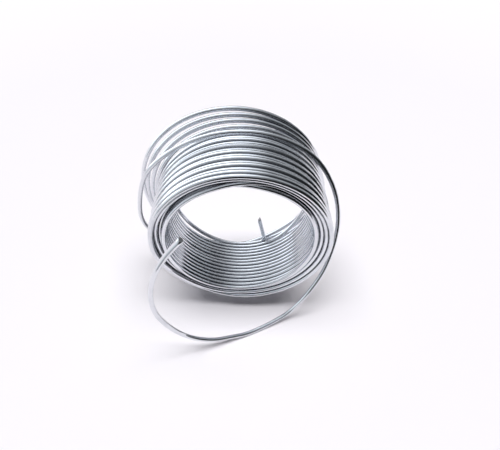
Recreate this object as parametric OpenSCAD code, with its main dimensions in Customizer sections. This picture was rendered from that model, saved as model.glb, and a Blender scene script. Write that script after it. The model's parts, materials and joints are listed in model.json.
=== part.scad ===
// Coil of galvanised wire, lying on its side: its axis runs along Y, its front end faces -Y.
// The origin is in the middle of the bore, on the coil's axis.

/* [Wire] */
// Diameter of the wire
wire_d = 2; // [1.6:0.1:2.6]

/* [Wound body] */
// Diameter of the bore, across the crests of the innermost turns
bore_d = 63; // [50:1:80]
// Turns side by side in the innermost layer
layer_turns = 14; // [10:1:18]
// Layers of turns between the bore and the outside
layers = 4; // [3:1:6]
// Width of the flat that the winding mandrel rubs on each turn in the bore
crest_flat = 0.4; // [0.3:0.05:0.6]

/* [Rear flare] */
// Turns that have sprung off the outer layer at the rear
flare_turns = 4; // [3:1:6]
// How much the radius of these turns grows up to the flare's rim
flare_growth = 3.7; // [2:0.1:6]
// How far the rim has sprung out to the left
flare_side = 4.4; // [2:0.1:6]
// How far the rim has sprung up
flare_lift = 1.9; // [0.5:0.1:3]
// How far the last turn sags below the flare, where the coil lies on it
flare_sag = 5.9; // [4:0.1:8]

/* [Loose turn and tail] */
// How far in front of the coil's middle the tail lies
tail_reach = 34; // [28:1:44]
// Play between the loose wire and the turns that it lies on
seat_gap = 0.1; // [0.05:0.05:0.2]

/* [Inner end] */
// How far the first turn springs back from the rear end of the coil
inner_spread = 5.2; // [3:0.1:7]
// Length of the straight end that is bent up
stub_l = 15; // [8:1:20]
// Inside radius of the bend at the foot of the straight end
stub_bend_r = 2; // [1.5:0.1:3]

/* [Hidden] */
$fn = 96;

wire_r = wire_d / 2;
bore_r = bore_d / 2;

// The turns nest in the grooves of the layer below, so three of them make an even triangle.
nest_angle = 60;
layer_rise = wire_d * sin(nest_angle);
// Height to which a groove between two turns is closed, as a share of the wire's radius
groove_share = 0.45;
// Half the thickness of the solid web that joins two turns
web_t = wire_r * groove_share;

// Centre line of the innermost turns: their crests are rubbed down to the bore.
crest_rise = sqrt(pow(wire_r, 2) - pow(crest_flat / 2, 2));
inner_r = bore_r + crest_rise;
body_l = layer_turns * wire_d;
first_y = -body_l / 2 + wire_r;

// A layer is set back by half a turn where it lies in the grooves of the one below.
function in_groove(layer) = layer % 2;
function layer_r(layer) = inner_r + layer * layer_rise;
function turns_in(layer) = layer_turns - in_groove(layer);
// Centre of one turn, as [radius, place along the axis]
function turn_at(layer, i) = [layer_r(layer), first_y + in_groove(layer) * wire_r + i * wire_d];
function last_turn(layer) = turn_at(layer, turns_in(layer) - 1);

outer_layer = layers - 1;
function around(r, y, angle) = [r * cos(angle), y, r * sin(angle)];

// The flare starts at the bottom, next to the outer layer's last turn and a share of a wire outside it.
foot_share = 0.4;
flare_foot = last_turn(outer_layer) + [foot_share * wire_d, wire_d + seat_gap];
flare_start_angle = -90;
// Pitch of the flare as a share of the wire's diameter: its mean, and how much wider it opens at the
// angle where the turns grow least.
pitch_share = 1.1;
pitch_tilt_share = 0.25;
pitch_tilt_angle = -45;
flare_steps = 12;
// The rim is passed at the top of the last turn, and the loose turn begins a quarter turn later.
rim_turns = flare_turns - 0.5;
free_turns = flare_turns - 0.25;
function flare_point(turns) = let (
    angle = flare_start_angle - 360 * turns,
    way = turns / rim_turns,
    pitch = wire_d * (pitch_share + pitch_tilt_share * cos(angle - pitch_tilt_angle))
  )
  around(flare_foot[0] + way * flare_growth, flare_foot[1] + turns * pitch, angle)
    + way * [-flare_side, 0, flare_lift];

// The last turn carries the coil, so the floor lies one wire radius below this line.
lie_z = flare_foot[0] + flare_growth - flare_lift + flare_sag;

// Route of the loose turn and the tail: across and up as shares of the height at which the coil lies,
// and forward as a share of the way from the outer layer's last turn to the tail's reach.
loose_shares = [
  [0.71, -0.265, -0.50], [0.45, -0.265, -0.82], [0.24, -0.255, -0.965], [0.09, -0.24, -0.998],
  [-0.12, -0.215, -0.995], [-0.33, -0.18, -0.987], [-0.62, -0.13, -0.855], [-0.88, -0.045, -0.575],
  [-1.02, 0.035, -0.26], [-0.995, 0.08, 0.09], [-0.845, 0.11, 0.49], [-0.54, 0.135, 0.77],
  [-0.16, 0.15, 0.925], [0.24, 0.155, 0.91], [0.61, 0.175, 0.72], [0.84, 0.23, 0.39],
  [0.925, 0.325, 0]
];
tail_shares = [
  [0.85, 0.495, -0.38], [0.69, 0.64, -0.65], [0.52, 0.715, -0.885], [0.36, 0.785, -0.965],
  [0.19, 0.86, -0.998], [0.05, 0.92, -0.997], [-0.09, 0.97, -0.962], [-0.27, 1.03, -0.905],
  [-0.44, 1.065, -0.805], [-0.57, 1.085, -0.665], [-0.665, 1.105, -0.47], [-0.72, 1.125, -0.25],
  [-0.725, 1.135, -0.035], [-0.69, 1.14, 0.18], [-0.615, 1.15, 0.395], [-0.51, 1.15, 0.59],
  [-0.385, 1.16, 0.77]
];
loose_y = last_turn(outer_layer)[1];
function share_point(s) = [
  s[0] * lie_z,
  loose_y - s[1] * (loose_y + tail_reach),
  s[2] * lie_z
];
sprung_route = concat(
  [for (i = [0:flare_steps * free_turns]) flare_point(i / flare_steps)],
  [for (s = loose_shares) share_point(s)],
  [for (s = tail_shares) share_point(s)]
);

// Route of the inner end: one turn that springs back from the rear end and comes home to it at the
// bottom, the bend, and the straight end.
inner_start_angle = -55;
inner_end_angle = 288;
inner_steps = 24;
// Power of the way along the turn: under one, it springs back faster than it comes home.
spring_power = 0.65;
inner_seat_y = last_turn(0)[1] + wire_d + seat_gap;
function inner_angle(way) = inner_start_angle + way * (inner_end_angle - inner_start_angle);
function inner_y(way) = inner_seat_y + inner_spread * pow(sin(180 * pow(way, spring_power)), 2);
inner_turn = [
  for (i = [0:inner_steps]) let (way = i / inner_steps) around(inner_r, inner_y(way), inner_angle(way))
];
bend_steps = 5;
bend_angle = 82;
bend_line_r = stub_bend_r + wire_r;
inner_foot = inner_turn[inner_steps];
foot_angle = inner_end_angle + 90;
bend_centre = inner_foot + around(bend_line_r, 0, foot_angle + 90);
bend = [
  for (i = [1:bend_steps])
    bend_centre + around(bend_line_r, 0, foot_angle - 90 + i * bend_angle / bend_steps)
];
stub_dir = around(1, 0, foot_angle + bend_angle);
inner_route = concat(inner_turn, bend, [bend[bend_steps - 1] + stub_l * stub_dir]);

// A swept wire: sides around it, and steps between two points of a route
wire_sides = 8;
route_steps = 3;

function unit(v) = v / norm(v);
// Point on a smooth curve from b to c, with a and d as its neighbours
function smooth_point(a, b, c, d, t) =
  (2 * b + (c - a) * t + (2 * a - 5 * b + 4 * c - d) * pow(t, 2)
    + (3 * b - a - 3 * c + d) * pow(t, 3)) / 2;
function smooth_route(p) = let (n = len(p) - 1) concat(
  [for (i = [0:n - 1], k = [0:route_steps - 1])
    smooth_point(p[max(i - 1, 0)], p[i], p[i + 1], p[min(i + 2, n)], k / route_steps)],
  [p[n]]
);
function ring(centre, along) =
  let (across = unit(cross(along, [0, 1, 0])), up = cross(across, along))
  [for (k = [0:wire_sides - 1]) let (a = 360 * k / wire_sides)
    centre + wire_r * (cos(a) * across + sin(a) * up)];

// Wire of the part's own diameter along a route, with square-cut ends
module swept_wire(route) {
  n = len(route);
  points = [for (i = [0:n - 1])
    each ring(route[i], unit(route[min(i + 1, n - 1)] - route[max(i - 1, 0)]))];
  sides = [for (i = [0:n - 2], k = [0:wire_sides - 1])
    let (a = i * wire_sides + k, b = i * wire_sides + (k + 1) % wire_sides)
    each [[a, b, b + wire_sides], [a, b + wire_sides, a + wire_sides]]];
  near_end = [[for (k = [wire_sides - 1:-1:0]) k]];
  far_end = [[for (k = [0:wire_sides - 1]) (n - 1) * wire_sides + k]];
  polyhedron(points = points, faces = concat(sides, near_end, far_end), convexity = 4);
}

module turn_section(centre) {
  translate(centre) circle(r = wire_r);
}

// Solid web between two turns, up to the closed foot of the groove on either side
module web_section(from, to) {
  span = to - from;
  translate(from) rotate(atan2(span[1], span[0]))
    translate([0, -web_t]) square([norm(span), 2 * web_t]);
}

// Turns at the corners of the wound section, from the front of the bore round to its rear
end_turns = concat(
  [for (layer = [0:outer_layer]) turn_at(layer, 0)],
  [for (layer = [outer_layer:-1:0]) last_turn(layer)]
);

// Section of the wound body: the turns that show, and the solid mass of the turns behind them
module body_section() {
  difference() {
    union() {
      polygon(end_turns);
      for (i = [0:len(end_turns) - 1]) {
        turn_section(end_turns[i]);
        web_section(end_turns[i], end_turns[(i + 1) % len(end_turns)]);
      }
      for (layer = [0, outer_layer], i = [1:turns_in(layer) - 2]) turn_section(turn_at(layer, i));
    }
    translate([bore_r - wire_d, -body_l]) square([wire_d, 2 * body_l]);
  }
}

// The wound body, with its bore
module wound_body() {
  rotate([-90, 0, 0]) rotate_extrude() body_section();
}

// The last turns, which have sprung open into a flare, the loose turn and the tail that it runs out into
module sprung_turns() {
  swept_wire(smooth_route(sprung_route));
}

// The first turn, which has sprung back behind the bore, and its end that is bent up
module inner_end() {
  swept_wire(inner_route);
}

module wire_coil() {
  color("silver") {
    wound_body();
    sprung_turns();
    inner_end();
  }
}

wire_coil();
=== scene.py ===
"""Dresses the coil of galvanised wire: one wire, wound turn by turn, on a pale studio floor."""
import json
import math

import bpy
import numpy as np
from mathutils.kdtree import KDTree
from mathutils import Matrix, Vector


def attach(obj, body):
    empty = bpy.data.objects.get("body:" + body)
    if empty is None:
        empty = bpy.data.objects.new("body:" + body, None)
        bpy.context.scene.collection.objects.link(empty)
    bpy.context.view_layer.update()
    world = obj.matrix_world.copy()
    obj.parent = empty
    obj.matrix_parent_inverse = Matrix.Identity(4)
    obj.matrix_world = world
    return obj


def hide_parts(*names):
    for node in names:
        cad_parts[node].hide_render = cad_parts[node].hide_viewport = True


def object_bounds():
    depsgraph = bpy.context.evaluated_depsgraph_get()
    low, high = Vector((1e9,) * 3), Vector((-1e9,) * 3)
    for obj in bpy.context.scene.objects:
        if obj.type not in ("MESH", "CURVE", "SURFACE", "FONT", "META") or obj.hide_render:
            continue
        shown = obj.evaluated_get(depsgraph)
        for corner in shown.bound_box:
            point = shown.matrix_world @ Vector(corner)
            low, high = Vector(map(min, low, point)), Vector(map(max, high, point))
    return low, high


bl_info = {
    "name": "Coil of galvanised wire",
    "version": (1, 0, 0),
    "blender": (4, 5, 0),
    "location": "3D View > Sidebar > Wire Coil",
    "description": "Winds one galvanised wire into a coil and sets it on a studio floor",
    "category": "Object",
}

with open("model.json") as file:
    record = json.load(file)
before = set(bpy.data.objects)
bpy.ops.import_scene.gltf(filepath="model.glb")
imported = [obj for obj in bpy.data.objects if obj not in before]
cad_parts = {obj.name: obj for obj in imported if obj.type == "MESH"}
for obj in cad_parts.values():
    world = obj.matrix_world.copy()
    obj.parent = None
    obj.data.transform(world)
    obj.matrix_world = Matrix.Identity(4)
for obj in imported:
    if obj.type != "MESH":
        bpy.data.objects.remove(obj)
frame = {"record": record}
CAD_LOW, CAD_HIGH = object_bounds()
BORE = frame["record"]["mounts"][0]["dims"]
MILLIMETRE = 0.001

# Three nested turns make an even triangle, so a layer rises by this share of the wire's diameter.
NEST_SHARE = math.sin(math.radians(60))

# Angles run round the coil's axis, from +X on the right over the top, and the wire runs against them.
# Each layer steps on to its next turn at one angle, over a width and with an ease in degrees, and no turn
# is shorter than the least.
STEP_ANGLES = (90, -100, 160, -90)
STEP_WIDTH = 34
STEP_EASE = 22
LEAST_TURN = 180
# The first turn springs back from the rear end and comes home at the bottom. With a power under one, it
# springs back faster than it comes home.
FIRST_STEP_ANGLE = -55
SPRING_POWER = 0.65
# The third layer climbs to the outer one at the lower left, and the outer layer's first turn, at the very
# front, steps back at the bottom.
CLIMB_ANGLE = -155
FRONT_STEP_ANGLE = -107
# Every second turn of the outer layer stands a little proud of its neighbours, in wire diameters. The turn
# behind the body stands as far out of its layer.
PROUD_SHARE = 0.13
# Seeds of the turns' wander outward and backward
OUTWARD_SEED = 3
BACKWARD_SEED = 7

# Rows are turn, angle, half width in degrees, outward and backward in wire diameters. They tell where
# a turn has sprung away from its neighbours.
SPRUNG = (
    ("first", -143, 48, 0, 0.8),
    ("front", -28, 82, -0.7, -0.1),
    ("rear", -50, 95, -1.7, 0),
    ("rear", -42, 80, 0, 2.2),
)

# The flare: its foot outside the outer layer and its pitch in wire diameters, how much wider the pitch
# opens at one angle, the turns up to the rim and up to the loose turn, and the turns between two of its
# keys and past its end.
FLARE_FOOT_SHARE = 0.4
FLARE_PITCH_SHARE = 1.1
FLARE_TILT_SHARE = 0.25
FLARE_TILT_ANGLE = -45
FLARE_RIM_TURNS = 3.5
FLARE_TURNS = 3.75
FLARE_KEY_TURNS = 0.04
FLARE_SPARE_TURNS = 0.2

# The loose turn and the tail: across and up as shares of the height at which the coil lies, and forward
# as a share of the way from the outer layer's last turn to the tail's reach.
LOOSE_SHARES = (
    (0.71, -0.265, -0.50), (0.45, -0.265, -0.82), (0.24, -0.255, -0.965), (0.09, -0.24, -0.998),
    (-0.12, -0.215, -0.995), (-0.33, -0.18, -0.987), (-0.62, -0.13, -0.855), (-0.88, -0.045, -0.575),
    (-1.02, 0.035, -0.26), (-0.995, 0.08, 0.09), (-0.845, 0.11, 0.49), (-0.54, 0.135, 0.77),
    (-0.16, 0.15, 0.925), (0.24, 0.155, 0.91), (0.61, 0.175, 0.72), (0.84, 0.23, 0.39),
    (0.925, 0.325, 0),
)
TAIL_SHARES = (
    (0.85, 0.495, -0.38), (0.69, 0.64, -0.65), (0.52, 0.715, -0.885), (0.36, 0.785, -0.965),
    (0.19, 0.86, -0.998), (0.05, 0.92, -0.997), (-0.09, 0.97, -0.962), (-0.27, 1.03, -0.905),
    (-0.44, 1.065, -0.805), (-0.57, 1.085, -0.665), (-0.665, 1.105, -0.47), (-0.72, 1.125, -0.25),
    (-0.725, 1.135, -0.035), (-0.69, 1.14, 0.18), (-0.615, 1.15, 0.395), (-0.51, 1.15, 0.59),
    (-0.385, 1.16, 0.77),
)

# In metres: radius of the room that the metal shows, side of the square floor, and the way from the lamp's
# middle over which the floor comes to glow
DOME_RADIUS = 8
FLOOR_SIZE = 16
FLOOR_GLOW_SPAN = (0.3, 5.5)
# The camera's sensor in millimetres, and how near in metres it sees
SENSOR_WIDTH = 36
NEAR_CLIP = 0.01

# The room as the metal shows it, in shares of its radius. Low down it goes from pale to dark along its dark
# side, and by its height it passes into its high part, which darkens to the right. A band of light lies
# across it: its middle behind the coil, where it is full and where it ends, and its fade to the right.
LOW_SHARES = (-0.95, -0.25)
HEIGHT_SHARES = (0.3, 0.8)
HIGH_FADE_SHARES = (0, 0.45)
BAND_MIDDLE_SHARE = 0.38
BAND_SHARES = (0.2, 0.55)
BAND_FADE_SHARES = (-0.2, 0.5)

# Painted shade: the wire's colour goes dark where it lies in a groove between two turns.
# A point lies in a groove where a probe out of it comes close to another turn's middle line: how far out
# the probe stands, where the groove begins and over what way the painted shade deepens, in wire diameters.
GROOVE_PROBE = 0.25
GROOVE_FAR = 0.72
GROOVE_DEPTH = 0.3
# The middle line is cut finer for this, and the rings next to a point on its own turn don't count.
GROOVE_FINENESS = 4
GROOVE_OWN_RINGS = 4

# The inner end is pinched off: width of its last rings from the tip on, the way between two of them and how
# far to the side they are pinched, as shares of the wire's diameter.
PINCH_SHARES = (0.22, 0.5, 0.8)
PINCH_STEP_SHARE = 0.3
PINCH_SIDE_SHARE = 0.2
# The tail is cut with a small bevel: its length and its width at the end, as shares of the diameter.
CUT_LENGTH_SHARE = 0.06
CUT_WIDTH_SHARE = 0.86
# Blender's bevel resolution for the wire, which gives it 16 sides
WIRE_ROUNDNESS = 6
# Bare edge at the ends of a row of unrolled skin, above and below it as a share of the row, and turns in it
SKIN_EDGE = 0.01
SKIN_GAP = 0.08
ROW_TURNS = 2

# Marks of drawing, in waves per metre across the wire twice and along it
LINE_GRAIN = (4500, 4500, 40)
PATCH_GRAIN = (600, 600, 180)
DRIFT_GRAIN = (0, 0, 9)
# The stretch of the noise over which a patch dulls, and the drift's stretch and what it makes of the tone
PATCH_SPAN = (0.5, 0.75)
DRIFT_SPAN = (0.3, 0.7)
TONE_SPAN = (0.9, 1.06)
# How far a dulled patch takes the dull colour, and the roughness of bright and dulled zinc as shares
DULL_SHARE = 0.6
ROUGHNESS_SHARES = (0.9, 1.6)
# Strength of the draw lines' relief, and its depth in metres
LINE_STRENGTH = 0.04
LINE_DEPTH = 0.000006


class CoilSizes(bpy.types.PropertyGroup):
    """Sizes of the wire and its winding"""

    wire_diameter: bpy.props.FloatProperty(
        name="Wire diameter", description="Diameter of the wire", default=0.002, unit="LENGTH"
    )
    bore_radius: bpy.props.FloatProperty(
        name="Bore radius", description="Radius across the crests of the innermost turns",
        default=BORE["r_mm"] * MILLIMETRE, unit="LENGTH",
    )
    crest_flat: bpy.props.FloatProperty(
        name="Crest flat", description="Width of the flat rubbed on the turns in the bore",
        default=0.0004, unit="LENGTH",
    )
    layer_turns: bpy.props.IntProperty(
        name="Turns in a layer", description="Turns side by side in the innermost layer", default=14
    )
    layers: bpy.props.IntProperty(
        name="Layers", description="Layers of turns from the bore to the outside", default=4
    )
    flare_growth: bpy.props.FloatProperty(
        name="Flare growth", description="How much the sprung turns grow up to the flare's rim",
        default=0.0037, unit="LENGTH",
    )
    flare_side: bpy.props.FloatProperty(
        name="Flare side", description="How far the rim has sprung out to the left",
        default=0.0044, unit="LENGTH",
    )
    flare_lift: bpy.props.FloatProperty(
        name="Flare lift", description="How far the rim has sprung up", default=0.0019, unit="LENGTH"
    )
    flare_sag: bpy.props.FloatProperty(
        name="Flare sag", description="How far the last turn sags below the flare",
        default=0.0059, unit="LENGTH",
    )
    tail_reach: bpy.props.FloatProperty(
        name="Tail reach", description="How far in front of the coil's middle the tail lies",
        default=0.034, unit="LENGTH",
    )
    seat_gap: bpy.props.FloatProperty(
        name="Seat gap", description="Play between the loose wire and what it lies on",
        default=0.0001, unit="LENGTH",
    )
    inner_spread: bpy.props.FloatProperty(
        name="Inner spread", description="How far the first turn springs back from the rear end",
        default=0.0052, unit="LENGTH",
    )
    stub_length: bpy.props.FloatProperty(
        name="Stub length", description="Length of the inner end that is bent up",
        default=0.015, unit="LENGTH",
    )
    stub_bend: bpy.props.FloatProperty(
        name="Stub bend", description="Inside radius of the bend at the foot of the inner end",
        default=0.002, unit="LENGTH",
    )
    unevenness: bpy.props.FloatProperty(
        name="Unevenness", description="How far the turns wander, as a share of the wire's diameter",
        default=0.05, subtype="FACTOR",
    )
    turn_steps: bpy.props.IntProperty(
        name="Steps in a turn", description="Straight steps that a turn is drawn with", default=80
    )


class WireFinish(bpy.types.PropertyGroup):
    """Colours and gloss of the wire, and the painted shade in its grooves"""

    zinc: bpy.props.FloatVectorProperty(
        name="Zinc", description="Colour of the bright zinc coat",
        default=(0.76, 0.775, 0.81), subtype="COLOR", size=3,
    )
    dull_zinc: bpy.props.FloatVectorProperty(
        name="Dull zinc", description="Colour of the patches that have dulled",
        default=(0.59, 0.61, 0.655), subtype="COLOR", size=3,
    )
    # Painted shade: the near-black colour that the wire takes in the grooves between turns, where shade
    # falls.
    groove: bpy.props.FloatVectorProperty(
        name="Groove", description="Colour of the zinc down in the grooves between two turns",
        default=(0.07, 0.08, 0.11), subtype="COLOR", size=3,
    )
    zinc_roughness: bpy.props.FloatProperty(
        name="Zinc roughness", description="Roughness of the bright zinc", default=0.11, subtype="FACTOR"
    )
    steel: bpy.props.FloatVectorProperty(
        name="Cut steel", description="Colour of the bare steel at the cut ends",
        default=(0.30, 0.30, 0.31), subtype="COLOR", size=3,
    )
    dull_steel: bpy.props.FloatVectorProperty(
        name="Dull steel", description="Colour of the dulled spots on the cut ends",
        default=(0.16, 0.15, 0.15), subtype="COLOR", size=3,
    )
    steel_roughness: bpy.props.FloatProperty(
        name="Steel roughness", description="Roughness of the cut ends", default=0.42, subtype="FACTOR"
    )


class StudioSettings(bpy.types.PropertyGroup):
    """Floor, light and camera"""

    floor_colour: bpy.props.FloatVectorProperty(
        name="Floor", description="Colour of the floor", default=(0.93, 0.905, 0.95),
        subtype="COLOR", size=3,
    )
    floor_lift: bpy.props.FloatProperty(
        name="Floor lift", description="Light that the floor itself adds under the lamp", default=0.02
    )
    floor_front: bpy.props.FloatProperty(
        name="Floor front", description="How far the floor runs in front of the coil's middle",
        default=0.1, unit="LENGTH",
    )
    room_colour: bpy.props.FloatVectorProperty(
        name="Room", description="Colour of the room behind the floor", default=(0.995, 0.99, 1),
        subtype="COLOR", size=3,
    )
    dome_colour: bpy.props.FloatVectorProperty(
        name="Dome", description="Colour of the room that the metal shows", default=(0.9, 0.95, 1),
        subtype="COLOR", size=3,
    )
    room_light: bpy.props.FloatProperty(
        name="Room light", description="Strength of the light from all round", default=0.04
    )
    room_seen: bpy.props.FloatProperty(
        name="Room seen", description="How bright the room and the far floor look", default=1.0
    )
    top_power: bpy.props.FloatProperty(
        name="Top lamp", description="Power of the long lamp overhead", default=305, unit="POWER"
    )
    lamp_height: bpy.props.FloatProperty(
        name="Lamp height", description="Height of the lamp over the coil's axis", default=5, unit="LENGTH"
    )
    lamp_length: bpy.props.FloatProperty(
        name="Lamp length", description="Length of the lamp, across the view", default=5.4, unit="LENGTH"
    )
    lamp_width: bpy.props.FloatProperty(
        name="Lamp width", description="Width of the lamp, along the view", default=2.1, unit="LENGTH"
    )
    high_level: bpy.props.FloatProperty(
        name="High level", description="How bright the room shows in the metal high up", default=0.75
    )
    high_right_level: bpy.props.FloatProperty(
        name="High right level", description="How bright the room shows high up at the right", default=0.2
    )
    band_level: bpy.props.FloatProperty(
        name="Band level", description="How much brighter the band of light shows in the metal", default=1.7
    )
    band_right_level: bpy.props.FloatProperty(
        name="Band right level", description="How much brighter the band shows at the right", default=0.35
    )
    pale_level: bpy.props.FloatProperty(
        name="Pale level", description="How bright the room shows low down on its pale side", default=0.95
    )
    dark_level: bpy.props.FloatProperty(
        name="Dark level", description="How bright the room shows low down on its dark side", default=0.02
    )
    dark_side: bpy.props.FloatProperty(
        name="Dark side", description="Direction of the dark side, from the right round to the rear",
        default=math.radians(5), subtype="ANGLE",
    )
    view_down: bpy.props.FloatProperty(
        name="View down", description="How far the camera looks down",
        default=math.radians(46.7), subtype="ANGLE",
    )
    camera_place: bpy.props.FloatVectorProperty(
        name="Camera place", description="Where the camera stands",
        default=(0.00094, -0.1138, 0.119), subtype="TRANSLATION", size=3,
    )
    lens: bpy.props.FloatProperty(
        name="Lens", description="Focal length in millimetres on a 36 mm sensor", default=26.5
    )
    lens_shift: bpy.props.FloatProperty(
        name="Lens shift", description="Sideways shift of the lens, as a share of the width",
        default=0.014,
    )


def around(radius, place, angle):
    """Points at a radius from the coil's axis, at a place along it and at an angle in degrees."""
    turn = np.radians(angle)
    return np.stack(np.broadcast_arrays(radius * np.cos(turn), place, radius * np.sin(turn)), axis=-1)


def wander(run, seed):
    """A smooth wander along the wire, from about -1 to 1, with a few waves in each turn."""
    draw = np.random.default_rng(seed)
    count = 8
    waves = draw.uniform(0.5, 3.2, count)
    starts = draw.uniform(0, 360, count)
    return np.sin(np.radians(run[:, None] * waves + starts)).sum(axis=1) / (count / 2)


def smooth_route(points, steps):
    """A smooth curve through points, each stretch in as many steps."""
    padded = np.concatenate([points[:1], points, points[-1:]])
    share = (np.arange(steps) / steps)[:, None]
    stretches = []
    for a, b, c, d in zip(padded, padded[1:], padded[2:], padded[3:]):
        bend = (2 * a - 5 * b + 4 * c - d) * share**2 + (3 * b - a - 3 * c + d) * share**3
        stretches.append((2 * b + (c - a) * share + bend) / 2)
    return np.concatenate(stretches + [points[-1:]])


class Winding:
    """The coil's measures and the line that its one wire follows, from the inner end to the tail."""

    foot_angle = -72
    bend_angle = 84
    bend_steps = 8
    straight_steps = 7
    loose_steps = 5
    lead_steps = 8

    def __init__(self, sizes):
        self.sizes = sizes
        self.wire = sizes.wire_diameter
        half = self.wire / 2
        self.inner_radius = sizes.bore_radius + math.sqrt(half**2 - (sizes.crest_flat / 2) ** 2)
        self.first_place = -sizes.layer_turns * half + half
        self.rear_place = -self.first_place + self.wire + sizes.seat_gap
        self.outer_layer = sizes.layers - 1
        self.loose_place = self.layer_places(self.outer_layer)[-1]
        self.flare_radius = self.layer_radius(self.outer_layer) + FLARE_FOOT_SHARE * self.wire
        self.flare_place = self.loose_place + self.wire + sizes.seat_gap
        self.lie = self.flare_radius + sizes.flare_growth - sizes.flare_lift + sizes.flare_sag

    def layer_radius(self, layer):
        """Radius of a layer's middle line."""
        return self.inner_radius + layer * self.wire * NEST_SHARE

    def layer_places(self, layer):
        """Places of a layer's turns from front to rear; every second layer lies in the grooves."""
        groove = layer % 2
        count = self.sizes.layer_turns - groove
        return [self.first_place + (i + groove / 2) * self.wire for i in range(count)]

    def turns(self):
        """Name, radius, place and step angle of each turn, in the order in which it was wound."""
        found = [("first", self.inner_radius, self.rear_place, FIRST_STEP_ANGLE)]
        for layer in range(self.outer_layer):
            places = self.layer_places(layer)
            if layer % 2 == 0:
                places.reverse()
            rows = [["layer", self.layer_radius(layer), place, STEP_ANGLES[layer]] for place in places]
            if layer == 0:
                rows[-1][0] = "front"
            if layer == 1:
                rear_radius = self.layer_radius(layer + 1) + PROUD_SHARE * self.wire
                rows.append(["rear", rear_radius, self.rear_place, STEP_ANGLES[layer]])
            if layer == 2:
                rows[-1][3] = CLIMB_ANGLE
            found += rows
        outer = self.layer_radius(self.outer_layer)
        places = self.layer_places(self.outer_layer)
        found.append(("outer", outer, places[0] - self.wire, FRONT_STEP_ANGLE))
        for i, place in enumerate(places):
            proud = PROUD_SHARE * self.wire * (1 if i % 2 == 0 else -1)
            found.append(("outer", outer + proud, place, STEP_ANGLES[self.outer_layer]))
        return found

    def flare(self, turns):
        """Radius and place of the flare after a number of turns."""
        angle = STEP_ANGLES[self.outer_layer] - 360 * turns
        tilt = np.cos(np.radians(angle - FLARE_TILT_ANGLE))
        pitch = self.wire * (FLARE_PITCH_SHARE + FLARE_TILT_SHARE * tilt)
        radius = self.flare_radius + turns / FLARE_RIM_TURNS * self.sizes.flare_growth
        return radius, self.flare_place + turns * pitch

    def wound(self):
        """Points of the wound layers and the flare, from the foot of the inner end to the loose turn."""
        keys = []
        starts = {}
        run = -self.foot_angle
        for name, radius, place, step in self.turns():
            starts[name] = run
            end = run + LEAST_TURN + (-step - run - LEAST_TURN) % 360
            keys += [(run + STEP_WIDTH / 2, radius, place), (end - STEP_WIDTH / 2, radius, place)]
            run = end
        first_key = STEP_WIDTH / 2 / 360
        for turns in np.arange(first_key, FLARE_TURNS + FLARE_SPARE_TURNS, FLARE_KEY_TURNS):
            keys.append((run + 360 * turns, *self.flare(turns)))
        key_run, key_radius, key_place = np.array(keys).T

        step = 360 / self.sizes.turn_steps
        line = np.arange(-self.foot_angle, run + 360 * FLARE_TURNS + step / 2, step)
        radius = self.eased(np.interp(line, key_run, key_radius), step)
        place = self.eased(np.interp(line, key_run, key_place), step) + self.first_spring(line)
        for name, angle, half_width, out, back in SPRUNG:
            middle = starts[name] + (-angle - starts[name]) % 360
            reach = np.clip((line - middle) / half_width, -1, 1)
            bump = (1 + np.cos(np.pi * reach)) / 2 * self.wire
            radius = radius + out * bump
            place = place + back * bump
        loose = self.sizes.unevenness * self.wire
        radius = radius + loose * wander(line, OUTWARD_SEED)
        place = place + loose * wander(line, BACKWARD_SEED)
        way = np.clip((line - run) / 360 / FLARE_RIM_TURNS, 0, None)[:, None]
        sprung = way * np.array((-self.sizes.flare_side, 0, self.sizes.flare_lift))
        return around(radius, place, -line) + sprung

    def first_spring(self, line):
        """How far back the first turn has sprung along the line."""
        arc = 360 - FIRST_STEP_ANGLE + self.foot_angle
        way = np.clip(1 - (line + self.foot_angle) / arc, 0, 1)
        return self.sizes.inner_spread * np.sin(np.pi * way**SPRING_POWER) ** 2

    def eased(self, values, step):
        """Values with their corners rounded over a short stretch of the turn."""
        half = max(1, round(STEP_EASE / step / 2))
        window = np.hanning(2 * half + 3)[1:-1]
        padded = np.pad(values, half, mode="edge")
        return np.convolve(padded, window / window.sum(), mode="valid")

    def inner_end(self):
        """Points from the tip of the straight inner end down to its foot."""
        bend = self.sizes.stub_bend + self.wire / 2
        foot = around(self.inner_radius, self.rear_place, self.foot_angle)
        turn = self.foot_angle + 90
        middle = foot + around(bend, 0, turn + 90)
        bent = np.linspace(self.bend_angle, 0, self.bend_steps, endpoint=False)
        curve = middle + around(bend, 0, turn - 90 + bent)
        along = around(1.0, 0.0, turn + self.bend_angle)
        pinch_step = PINCH_STEP_SHARE * self.wire
        tip = self.sizes.stub_length - pinch_step * np.arange(len(PINCH_SHARES))
        rest = np.linspace(tip[-1] - pinch_step, 0, self.straight_steps, endpoint=False)
        return np.concatenate([curve[0] + np.concatenate([tip, rest])[:, None] * along, curve])

    def loose_end(self, lead):
        """Points of the loose turn and the tail, on from the last of the lead points."""
        span = np.array((self.lie, -(self.loose_place + self.sizes.tail_reach), self.lie))
        shares = np.array(LOOSE_SHARES + TAIL_SHARES) * span + np.array((0, self.loose_place, 0))
        route = smooth_route(np.concatenate([lead, shares]), self.loose_steps)
        end = route[-1] - route[-2]
        cut = route[-1] + end / np.linalg.norm(end) * CUT_LENGTH_SHARE * self.wire
        return np.concatenate([route[(len(lead) - 1) * self.loose_steps + 1:], cut[None]])

    def line(self):
        """The whole wire's middle line."""
        wound = self.wound()
        lead = wound[-2 * self.lead_steps - 1::self.lead_steps]
        return np.concatenate([self.inner_end(), wound, self.loose_end(lead)])


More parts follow.
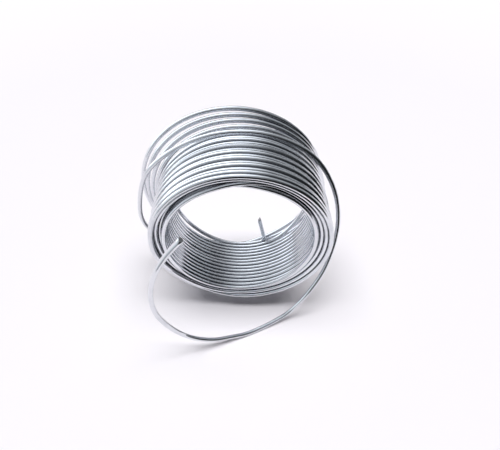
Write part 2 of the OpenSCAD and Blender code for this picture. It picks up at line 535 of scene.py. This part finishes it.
class NodeBench:
    """Adds shader nodes to a tree and joins them up."""

    def __init__(self, tree):
        self.tree = tree
        tree.nodes.clear()

    def add(self, kind, values=None, **settings):
        """A new node with its settings, and with values or links on its inputs."""
        node = self.tree.nodes.new(kind)
        for name, value in settings.items():
            setattr(node, name, value)
        for socket, value in (values or {}).items():
            if isinstance(value, bpy.types.NodeSocket):
                self.tree.links.new(value, node.inputs[socket])
            else:
                node.inputs[socket].default_value = value
        return node

    def noise(self, place, scale, detail):
        """Noise whose grain is drawn out by a scale for each direction."""
        spread = self.add("ShaderNodeMapping", {"Vector": place, "Scale": scale})
        values = {"Vector": spread.outputs[0], "Scale": 1, "Detail": detail}
        return self.add("ShaderNodeTexNoise", values).outputs["Fac"]

    def ranged(self, value, low, high, to_low, to_high):
        """A value taken from one range to another."""
        values = {"Value": value, "From Min": low, "From Max": high, "To Min": to_low, "To Max": to_high}
        return self.add("ShaderNodeMapRange", values).outputs[0]

    def seen(self):
        """One for what the camera sees, directly, in metal or through glass, and zero for other light."""
        path = self.add("ShaderNodeLightPath").outputs
        found = path["Is Camera Ray"]
        for name in ("Is Glossy Ray", "Is Transmission Ray"):
            found = self.add("ShaderNodeMath", {0: found, 1: path[name]}, operation="MAXIMUM").outputs[0]
        return found


def draw_marks():
    """Node group of the marks on a drawn wire: lines along it, dulled patches, and a slow drift of tone."""
    tree = bpy.data.node_groups.new("draw_marks", "ShaderNodeTree")
    tree.interface.new_socket("Wire Space", in_out="INPUT", socket_type="NodeSocketVector")
    for name in ("Lines", "Dulled", "Tone"):
        tree.interface.new_socket(name, in_out="OUTPUT", socket_type="NodeSocketFloat")
    bench = NodeBench(tree)
    place = bench.add("NodeGroupInput").outputs["Wire Space"]
    lines = bench.noise(place, LINE_GRAIN, 2)
    patches = bench.noise(place, PATCH_GRAIN, 3)
    drift = bench.noise(place, DRIFT_GRAIN, 2)
    dulled = bench.ranged(patches, *PATCH_SPAN, 0, 1)
    tone = bench.ranged(drift, *DRIFT_SPAN, *TONE_SPAN)
    bench.add("NodeGroupOutput", {"Lines": lines, "Dulled": dulled, "Tone": tone})
    return tree


def metal_material(name, marks, colour, dull_colour, groove_shade_colour, roughness):
    """Bare metal with the marks of a drawn wire, and painted shade in the grooves between turns."""
    material = bpy.data.materials.new(name)
    material.use_nodes = True
    bench = NodeBench(material.node_tree)
    place = bench.add("ShaderNodeAttribute", attribute_name="wire_space").outputs["Vector"]
    marked = bench.add("ShaderNodeGroup", node_tree=marks)
    bench.tree.links.new(place, marked.inputs["Wire Space"])
    dulled = marked.outputs["Dulled"]
    mixed = bench.add(
        "ShaderNodeMix",
        {"Factor": bench.ranged(dulled, 0, 1, 0, DULL_SHARE), "A": (*colour, 1), "B": (*dull_colour, 1)},
        data_type="RGBA",
    )
    toned = bench.add(
        "ShaderNodeVectorMath", {0: mixed.outputs["Result"], 1: marked.outputs["Tone"]}, operation="MULTIPLY"
    )
    # Painted shade: the colour is mixed towards the near-black groove colour by the groove mask.
    groove = bench.add("ShaderNodeAttribute", attribute_name="groove").outputs["Fac"]
    toned = bench.add(
        "ShaderNodeMix", {"Factor": groove, "A": toned.outputs[0], "B": (*groove_shade_colour, 1)}, data_type="RGBA"
    )
    bump = bench.add(
        "ShaderNodeBump",
        {"Strength": LINE_STRENGTH, "Distance": LINE_DEPTH, "Height": marked.outputs["Lines"]},
    )
    smooth, rough = (share * roughness for share in ROUGHNESS_SHARES)
    metal = bench.add(
        "ShaderNodeBsdfPrincipled",
        {
            "Base Color": toned.outputs["Result"], "Metallic": 1, "Normal": bump.outputs[0],
            "Roughness": bench.ranged(dulled, 0, 1, smooth, rough),
        },
    )
    bench.add("ShaderNodeOutputMaterial", {"Surface": metal.outputs[0]})
    return material


def floor_material(studio):
    """A matt pale floor. Where it is seen, it glows the more the farther it lies from the lamp's middle."""
    material = bpy.data.materials.new("pale_floor")
    material.use_nodes = True
    bench = NodeBench(material.node_tree)
    place = bench.add("ShaderNodeTexCoord").outputs["Object"]
    under_lamp = (0, studio.floor_front - FLOOR_SIZE / 2, 0)
    far = bench.add("ShaderNodeVectorMath", {0: place, 1: under_lamp}, operation="DISTANCE")
    level = bench.ranged(far.outputs["Value"], *FLOOR_GLOW_SPAN, studio.floor_lift, studio.room_seen)
    lift = bench.add("ShaderNodeMath", {0: bench.seen(), 1: level}, operation="MULTIPLY")
    matt = bench.add("ShaderNodeBsdfDiffuse", {"Color": (*studio.floor_colour, 1)})
    glow = bench.add("ShaderNodeEmission", {"Color": (1, 1, 1, 1), "Strength": lift.outputs[0]})
    both = bench.add("ShaderNodeAddShader", {0: matt.outputs[0], 1: glow.outputs[0]})
    bench.add("ShaderNodeOutputMaterial", {"Surface": both.outputs[0]})
    return material


def dome_material(studio):
    """The room that the metal shows: pale at the left and overhead, dark at the right and low down."""
    material = bpy.data.materials.new("room_dome")
    material.use_nodes = True
    bench = NodeBench(material.node_tree)

    def graded(value, shares, first, last):
        low, high = (share * DOME_RADIUS for share in shares)
        return bench.ranged(value, low, high, first, last)

    place = bench.add("ShaderNodeTexCoord").outputs["Object"]
    turned = bench.add("ShaderNodeMapping", {"Vector": place, "Rotation": (0, 0, -studio.dark_side)})
    along_dark = bench.add("ShaderNodeSeparateXYZ", {0: turned.outputs[0]}).outputs["X"]
    axes = bench.add("ShaderNodeSeparateXYZ", {0: place}).outputs
    low = graded(along_dark, LOW_SHARES, studio.pale_level, studio.dark_level)
    high = graded(axes["X"], HIGH_FADE_SHARES, studio.high_level, studio.high_right_level)
    height = graded(axes["Z"], HEIGHT_SHARES, 0, 1)
    level = bench.add("ShaderNodeMix", {"Factor": height, "A": low, "B": high}).outputs[0]

    middle = BAND_MIDDLE_SHARE * DOME_RADIUS
    off = bench.add("ShaderNodeMath", {0: axes["Y"], 1: middle}, operation="SUBTRACT").outputs[0]
    off = bench.add("ShaderNodeMath", {0: off}, operation="ABSOLUTE").outputs[0]
    band = graded(off, BAND_SHARES, 1, 0)
    fade = graded(axes["X"], BAND_FADE_SHARES, studio.band_level, studio.band_right_level)
    lit = bench.add("ShaderNodeMath", {0: band, 1: fade, 2: level}, operation="MULTIPLY_ADD").outputs[0]
    glow = bench.add("ShaderNodeEmission", {"Color": (*studio.dome_colour, 1), "Strength": lit})
    bench.add("ShaderNodeOutputMaterial", {"Surface": glow.outputs[0]})
    return material


def wire_tube(line, sizes):
    """A round tube along the line, as a mesh with a ring of points at each point of the line."""
    bpy.ops.object.select_all(action="DESELECT")
    bpy.ops.curve.primitive_nurbs_path_add(location=(0, 0, 0))
    tube = bpy.context.object
    tube.name = "wire"
    curve = tube.data
    curve.splines.clear()
    spline = curve.splines.new("POLY")
    spline.points.add(len(line) - 1)
    spline.points.foreach_set("co", np.column_stack([line, np.ones(len(line))]).ravel())
    spline.points[-1].radius = CUT_WIDTH_SHARE
    curve.twist_mode = "MINIMUM"
    curve.bevel_depth = sizes.wire_diameter / 2
    curve.bevel_resolution = WIRE_ROUNDNESS
    bpy.ops.object.convert(target="MESH")
    return bpy.context.object


class COIL_OT_wind_wire(bpy.types.Operator):
    """Wind the galvanised wire"""

    bl_idname = "coil.wind_wire"
    bl_label = "Wind wire"

    def execute(self, context):
        sizes = context.scene.coil_sizes
        finish = context.scene.coil_finish
        line = Winding(sizes).line()
        wire = wire_tube(line, sizes)
        mesh = wire.data
        sides = len(mesh.vertices) // len(line)
        if sides * len(line) != len(mesh.vertices):
            raise RuntimeError("the wire's tube has rings of different sizes")

        self.measure_along(mesh, line, sides, sizes.wire_diameter)
        self.find_shaded_grooves(mesh, line, sides, sizes.wire_diameter)
        self.lay_out(mesh, len(line), sides, ROW_TURNS * sizes.turn_steps)
        self.pinch_off(mesh, line, sides, sizes.wire_diameter)
        self.close_ends()

        marks = draw_marks()
        # Both metals take the painted shade in the grooves.
        zinc = metal_material(
            "galvanised_zinc", marks, finish.zinc, finish.dull_zinc, finish.groove, finish.zinc_roughness
        )
        steel = metal_material(
            "cut_steel", marks, finish.steel, finish.dull_steel, finish.groove, finish.steel_roughness
        )
        mesh.materials.clear()
        mesh.materials.append(zinc)
        mesh.materials.append(steel)
        pinched = sides * len(PINCH_SHARES)
        cut = sides * (len(line) - 1)
        for face in mesh.polygons:
            corners = face.vertices
            bare = max(corners) < pinched or min(corners) >= cut
            face.material_index = 1 if bare else 0
            face.use_smooth = not bare
        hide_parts("wire_coil")
        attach(wire, "root")
        return {"FINISHED"}

    def measure_along(self, mesh, line, sides, diameter):
        """Gives each point its place in the straightened wire, for the marks."""
        along = np.concatenate([[0], np.cumsum(np.linalg.norm(np.diff(line, axis=0), axis=1))])
        angle = np.arange(sides) / sides * 2 * np.pi
        space = np.empty((len(line), sides, 3), np.float32)
        space[:, :, :2] = np.column_stack([np.cos(angle), np.sin(angle)]) * diameter / 2
        space[:, :, 2] = along[:, None]
        mesh.attributes.new("wire_space", "FLOAT_VECTOR", "POINT").data.foreach_set("vector", space.ravel())

    def find_shaded_grooves(self, mesh, line, sides, diameter):
        """Gives each point one where another turn lies close in front of it, and zero out in the open: the
        mask of painted shade.
        """
        shares = np.arange(GROOVE_FINENESS) / GROOVE_FINENESS
        fine = (line[:-1, None] + np.diff(line, axis=0)[:, None] * shares[:, None]).reshape(-1, 3)
        tree = KDTree(len(fine))
        for i, point in enumerate(fine):
            tree.insert(point, i)
        tree.balance()
        groove = np.zeros(len(mesh.vertices), np.float32)
        for vertex in mesh.vertices:
            own = GROOVE_FINENESS * (vertex.index // sides)
            probe = vertex.co + vertex.normal * GROOVE_PROBE * diameter
            close = tree.find_range(probe, diameter)
            near = [gap for _, i, gap in close if abs(i - own) > GROOVE_FINENESS * GROOVE_OWN_RINGS]
            if near:
                groove[vertex.index] = np.clip((GROOVE_FAR - min(near) / diameter) / GROOVE_DEPTH, 0, 1)
        mesh.attributes.new("groove", "FLOAT", "POINT").data.foreach_set("value", groove)

    def lay_out(self, mesh, rings, sides, row_rings):
        """Unrolls the wire's skin into rows, one above the other."""
        corners = np.empty(len(mesh.loops), np.int64)
        mesh.loops.foreach_get("vertex_index", corners)
        corners = corners.reshape(-1, 4)
        ring, side = corners // sides, corners % sides
        row = ring.min(axis=1, keepdims=True) // row_rings
        wrapped = (side.max(axis=1, keepdims=True) == sides - 1) & (side == 0)
        side = np.where(wrapped, sides, side)
        rows = rings // row_rings + 2
        across = SKIN_EDGE + (1 - 2 * SKIN_EDGE) * (ring - row * row_rings) / row_rings
        up = (row + SKIN_GAP + (1 - 2 * SKIN_GAP) * side / sides) / rows
        layer = mesh.uv_layers.new(name="OFBake")
        layer.uv.foreach_set("vector", np.stack([across, up], axis=-1).astype(np.float32).ravel())

    def pinch_off(self, mesh, line, sides, diameter):
        """Narrows the last rings of the inner end, as cutters leave it."""
        for i, share in enumerate(PINCH_SHARES):
            mesh.vertices.foreach_set("select", np.arange(len(mesh.vertices)) // sides == i)
            bpy.ops.object.mode_set(mode="EDIT")
            pivot = line[i] + np.array((PINCH_SIDE_SHARE * diameter, 0, 0))
            bpy.ops.transform.resize(value=(share, 1, 1), center_override=pivot)
            bpy.ops.object.mode_set(mode="OBJECT")

    def close_ends(self):
        """Closes both ends of the tube."""
        bpy.ops.object.mode_set(mode="EDIT")
        bpy.ops.mesh.select_all(action="DESELECT")
        bpy.ops.mesh.select_non_manifold()
        bpy.ops.mesh.edge_face_add()
        bpy.ops.object.mode_set(mode="OBJECT")


class COIL_OT_set_stage(bpy.types.Operator):
    """Set up the floor, the light and the camera"""

    bl_idname = "coil.set_stage"
    bl_label = "Set stage"

    def execute(self, context):
        studio = context.scene.coil_studio
        place = (0, FLOOR_SIZE / 2 - studio.floor_front, CAD_LOW.z)
        bpy.ops.mesh.primitive_plane_add(size=FLOOR_SIZE, location=place)
        floor = context.object
        floor.name = "floor"
        floor.data.materials.append(floor_material(studio))

        bpy.ops.mesh.primitive_uv_sphere_add(radius=DOME_RADIUS)
        dome = context.object
        dome.name = "room_dome"
        dome.data.materials.append(dome_material(studio))
        dome.visible_camera = False
        dome.visible_diffuse = False
        dome.visible_transmission = False
        dome.visible_shadow = False

        world = bpy.data.worlds.new("room")
        world.use_nodes = True
        bench = NodeBench(world.node_tree)
        strength = bench.ranged(bench.seen(), 0, 1, studio.room_light, studio.room_seen)
        colour = (*studio.room_colour, 1)
        room = bench.add("ShaderNodeBackground", {"Color": colour, "Strength": strength})
        bench.add("ShaderNodeOutputWorld", {"Surface": room.outputs[0]})
        context.scene.world = world

        bpy.ops.object.light_add(type="AREA", location=(0, 0, studio.lamp_height))
        lamp = context.object
        lamp.name = "top_lamp"
        lamp.data.shape = "RECTANGLE"
        lamp.data.size = studio.lamp_length
        lamp.data.size_y = studio.lamp_width
        lamp.data.energy = studio.top_power
        lamp.visible_glossy = False

        turn = (math.pi / 2 - studio.view_down, 0, 0)
        bpy.ops.object.camera_add(location=studio.camera_place, rotation=turn)
        camera = context.object
        camera.data.sensor_width = SENSOR_WIDTH
        camera.data.lens = studio.lens
        camera.data.shift_x = studio.lens_shift
        camera.data.clip_start = NEAR_CLIP
        context.scene.camera = camera
        context.scene.view_settings.view_transform = "Standard"
        return {"FINISHED"}


class COIL_PT_sidebar(bpy.types.Panel):
    """Sizes, finish and studio of the wire coil"""

    bl_idname = "COIL_PT_sidebar"
    bl_label = "Wire Coil"
    bl_space_type = "VIEW_3D"
    bl_region_type = "UI"
    bl_category = "Wire Coil"

    def draw(self, context):
        for group in (context.scene.coil_sizes, context.scene.coil_finish, context.scene.coil_studio):
            box = self.layout.box()
            for name in group.__annotations__:
                box.prop(group, name)
        self.layout.operator(COIL_OT_wind_wire.bl_idname)
        self.layout.operator(COIL_OT_set_stage.bl_idname)


CLASSES = (
    CoilSizes, WireFinish, StudioSettings, COIL_OT_wind_wire, COIL_OT_set_stage, COIL_PT_sidebar,
)


def register():
    for cls in CLASSES:
        bpy.utils.register_class(cls)
    bpy.types.Scene.coil_sizes = bpy.props.PointerProperty(type=CoilSizes)
    bpy.types.Scene.coil_finish = bpy.props.PointerProperty(type=WireFinish)
    bpy.types.Scene.coil_studio = bpy.props.PointerProperty(type=StudioSettings)


def unregister():
    del bpy.types.Scene.coil_sizes
    del bpy.types.Scene.coil_finish
    del bpy.types.Scene.coil_studio
    for cls in reversed(CLASSES):
        bpy.utils.unregister_class(cls)


def main():
    register()
    bpy.ops.coil.wind_wire()
    bpy.ops.coil.set_stage()


if __name__ == "__main__":
    main()
